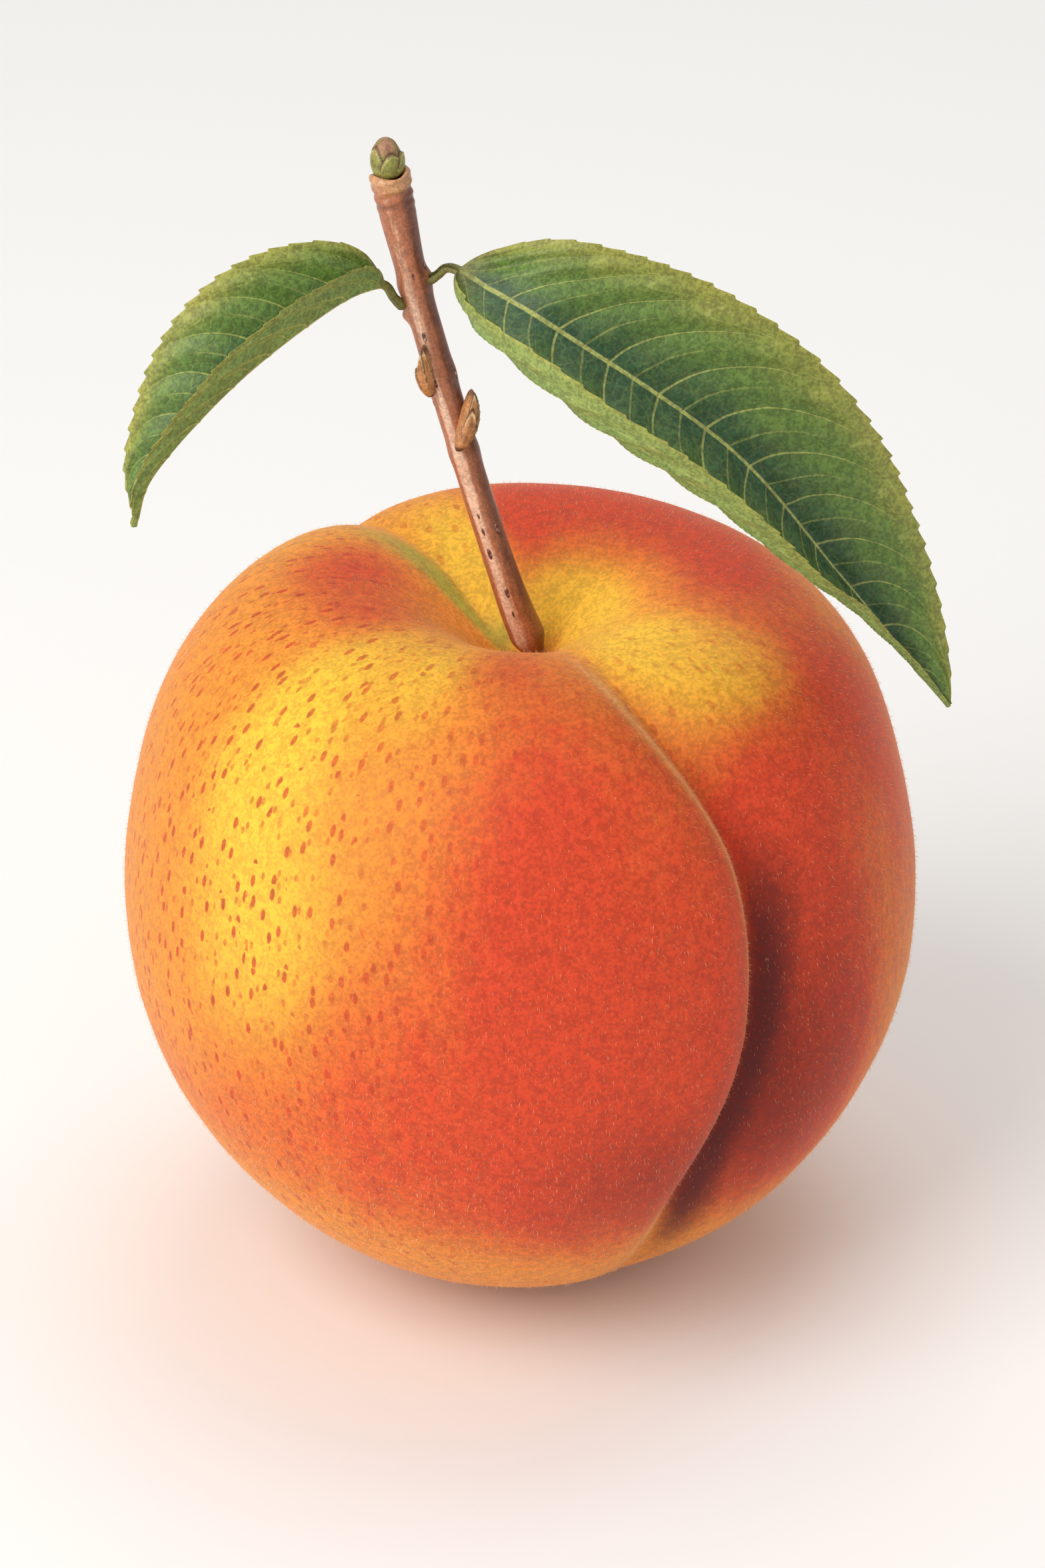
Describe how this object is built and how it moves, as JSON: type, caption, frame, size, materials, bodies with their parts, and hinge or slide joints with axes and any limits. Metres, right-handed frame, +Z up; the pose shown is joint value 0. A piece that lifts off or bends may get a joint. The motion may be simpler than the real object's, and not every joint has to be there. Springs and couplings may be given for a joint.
{
  "type": "peach",
  "caption": "Ripe peach as picked, on its short woody twig with leaves and buds. It stands on a small flat spot.",
  "frame": {"origin": "middle of the small flat spot under the fruit, on the surface it stands on", "axes": "+Z up along the fruit's own axis, from the flat spot to the twig; -Y is the front, where the suture runs down the front right; +X is towards the longer leaf"},
  "size_m": [0.0821, 0.0796, 0.1211],
  "materials": {
    "fruit_skin": "thin skin with fine pale fuzz, red blush over yellow, small red speckles",
    "bark": "smooth reddish-brown young bark with fine streaks and small dark pores",
    "green_bud": "overlapping green scales with brown edges and a dry brown tip",
    "brown_bud": "dry tan and brown scales with fine ridges",
    "leaf": "satin green upper side with raised yellow-green veins, paler matte underside, toothed margin"
  },
  "bodies": {
    "root": {"fruit": "fruit_skin", "twig": "bark", "end_bud": "green_bud", "left_side_bud": "brown_bud", "right_side_bud": "brown_bud", "left_leaf": "leaf", "right_leaf": "leaf"}
  },
  "joints": []
}
